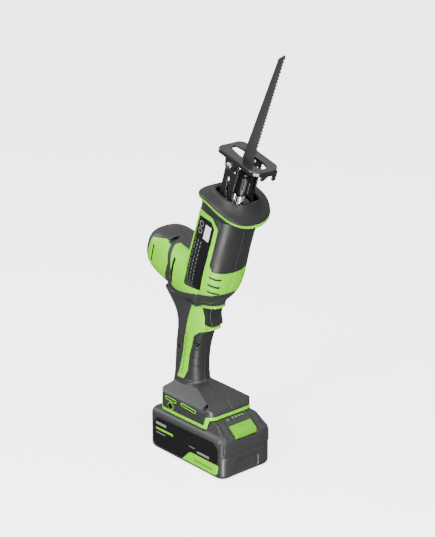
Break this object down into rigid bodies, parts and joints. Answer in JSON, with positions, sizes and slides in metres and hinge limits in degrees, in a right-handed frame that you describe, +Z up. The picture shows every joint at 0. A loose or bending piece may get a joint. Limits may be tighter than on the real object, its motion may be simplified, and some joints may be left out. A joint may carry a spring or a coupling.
{
  "type": "cordless reciprocating saw",
  "caption": "Compact one-handed cordless reciprocating saw with upright blade, pivoting shoe, trigger handle and slide-on battery pack.",
  "frame": {"origin": "centre of the battery pack's flat bottom, which the tool stands on", "axes": "+X towards the trigger side, +Y to the tool's left, +Z up along the standing tool"},
  "size_m": [0.2046, 0.076, 0.4814],
  "materials": {
    "green_plastic": "satin moulded",
    "dark_plastic": "fine textured",
    "soft_grip": "matte overmould",
    "label_plastic": "semi-gloss film",
    "trigger_plastic": "satin",
    "battery_plastic": "fine textured",
    "button_plastic": "satin",
    "gauge_plastic": "gloss",
    "black_paint": "gloss enamel",
    "blade_steel": "worn grey coating",
    "polished_rod": "polished",
    "dark_steel": "blackened",
    "steel": "machined",
    "cast_aluminium": "die cast",
    "bronze": "sintered",
    "brass_insert": "turned",
    "copper": "enamelled",
    "magnet": "plated",
    "circuit_board": "lacquered",
    "cell_wrap": "wrapped"
  },
  "bodies": {
    "housing": {"right_housing": "dark_plastic", "right_body_panel": "green_plastic", "right_tail_panel": "green_plastic", "right_handle_stripe": "green_plastic", "right_front_grip": "soft_grip", "right_handle_grip": "soft_grip", "left_housing": "dark_plastic", "left_body_panel": "green_plastic", "left_tail_panel": "green_plastic", "left_handle_stripe": "green_plastic", "left_front_grip": "soft_grip", "left_handle_grip": "soft_grip", "label_plates": "label_plastic", "foot_trim": "green_plastic", "hook_inserts": "brass_insert", "housing_screws": "dark_steel", "nose_boot": "soft_grip", "nose_ring": "green_plastic", "gear_case": "cast_aluminium", "gear_case_cover": "cast_aluminium", "plunger_bushes": "bronze", "crank_axle": "steel", "stator_core": "steel", "stator_windings": "copper", "motor_bearings": "steel", "switch_module": "dark_plastic", "controller_board": "circuit_board", "terminal_block": "dark_plastic", "terminal_blades": "copper", "shoe_bracket": "black_paint", "shoe_rivets": "steel", "trigger_spring": "steel"},
    "rotor": {"rotor_shaft": "steel", "rotor_magnets": "magnet", "cooling_fan": "dark_plastic", "pinion": "steel"},
    "crank": {"crank_gear": "steel", "crank_bearing": "bronze", "crank_pin": "steel"},
    "plunger": {"plunger_rod": "polished_rod", "plunger_yoke": "steel", "clamp_body": "dark_steel", "blade_lock_pin": "steel", "saw_blade": "blade_steel"},
    "collar": {"clamp_collar": "dark_steel"},
    "shoe": {"shoe_plate": "black_paint"},
    "trigger": {"trigger": "trigger_plastic"},
    "lock_off": {"lock_off_button": "trigger_plastic"},
    "battery": {"battery_lower_case": "battery_plastic", "battery_upper_case": "battery_plastic", "battery_side_panels": "label_plastic", "battery_badges": "green_plastic", "battery_cells": "cell_wrap", "cell_holders": "dark_plastic", "battery_board": "circuit_board", "battery_contacts": "copper", "gauge_strip": "gauge_plastic", "release_spring": "steel"},
    "release": {"release_button": "button_plastic"},
    "gauge": {"gauge_button": "gauge_plastic"}
  },
  "joints": [
    {"name": "plunger_slide", "type": "slide", "parent": "housing", "child": "plunger", "axis": [0.309, 0, 0.9511], "range_m": [-0.01, 0.01]},
    {"name": "crank_spin", "type": "hinge", "parent": "housing", "child": "crank", "pos_m": [0.02104, 0, 0.23288], "axis": [0.9511, 0, -0.309], "continuous": true},
    {"name": "rotor_spin", "type": "hinge", "parent": "housing", "child": "rotor", "pos_m": [0.0127, 0, 0.2072], "axis": [0.9511, 0, -0.309], "continuous": true},
    {"name": "clamp_twist", "type": "hinge", "parent": "plunger", "child": "collar", "pos_m": [0.05411, 0, 0.33464], "axis": [0.309, 0, 0.9511], "range_deg": [0, 35], "stiffness_Nm_per_rad": 0.15, "springref_deg": -17.19},
    {"name": "shoe_tilt", "type": "hinge", "parent": "housing", "child": "shoe", "pos_m": [0.05425, 0, 0.35773], "axis": [0, 1, 0], "range_deg": [-30, 14]},
    {"name": "trigger_pull", "type": "slide", "parent": "housing", "child": "trigger", "axis": [-1, 0, 0], "range_m": [0, 0.006], "stiffness_N_per_m": 800, "springref_m": -0.003, "deforming": ["trigger_spring"]},
    {"name": "lock_off_slide", "type": "slide", "parent": "housing", "child": "lock_off", "axis": [0, 1, 0], "range_m": [-0.003, 0.003], "stiffness_N_per_m": 600},
    {"name": "battery_slide", "type": "slide", "parent": "housing", "child": "battery", "axis": [1, 0, 0], "range_m": [0, 0.08]},
    {"name": "release_press", "type": "slide", "parent": "battery", "child": "release", "axis": [0, 0, -1], "range_m": [0, 0.003], "stiffness_N_per_m": 900, "springref_m": -0.001, "deforming": ["release_spring"]},
    {"name": "gauge_press", "type": "slide", "parent": "battery", "child": "gauge", "axis": [0, 0, -1], "range_m": [0, 0.0008], "stiffness_N_per_m": 1500, "springref_m": -0.0005}
  ],
  "couplings": [
    {"joint": "rotor_spin", "follows": "crank_spin", "ratio": -4.4}
  ]
}
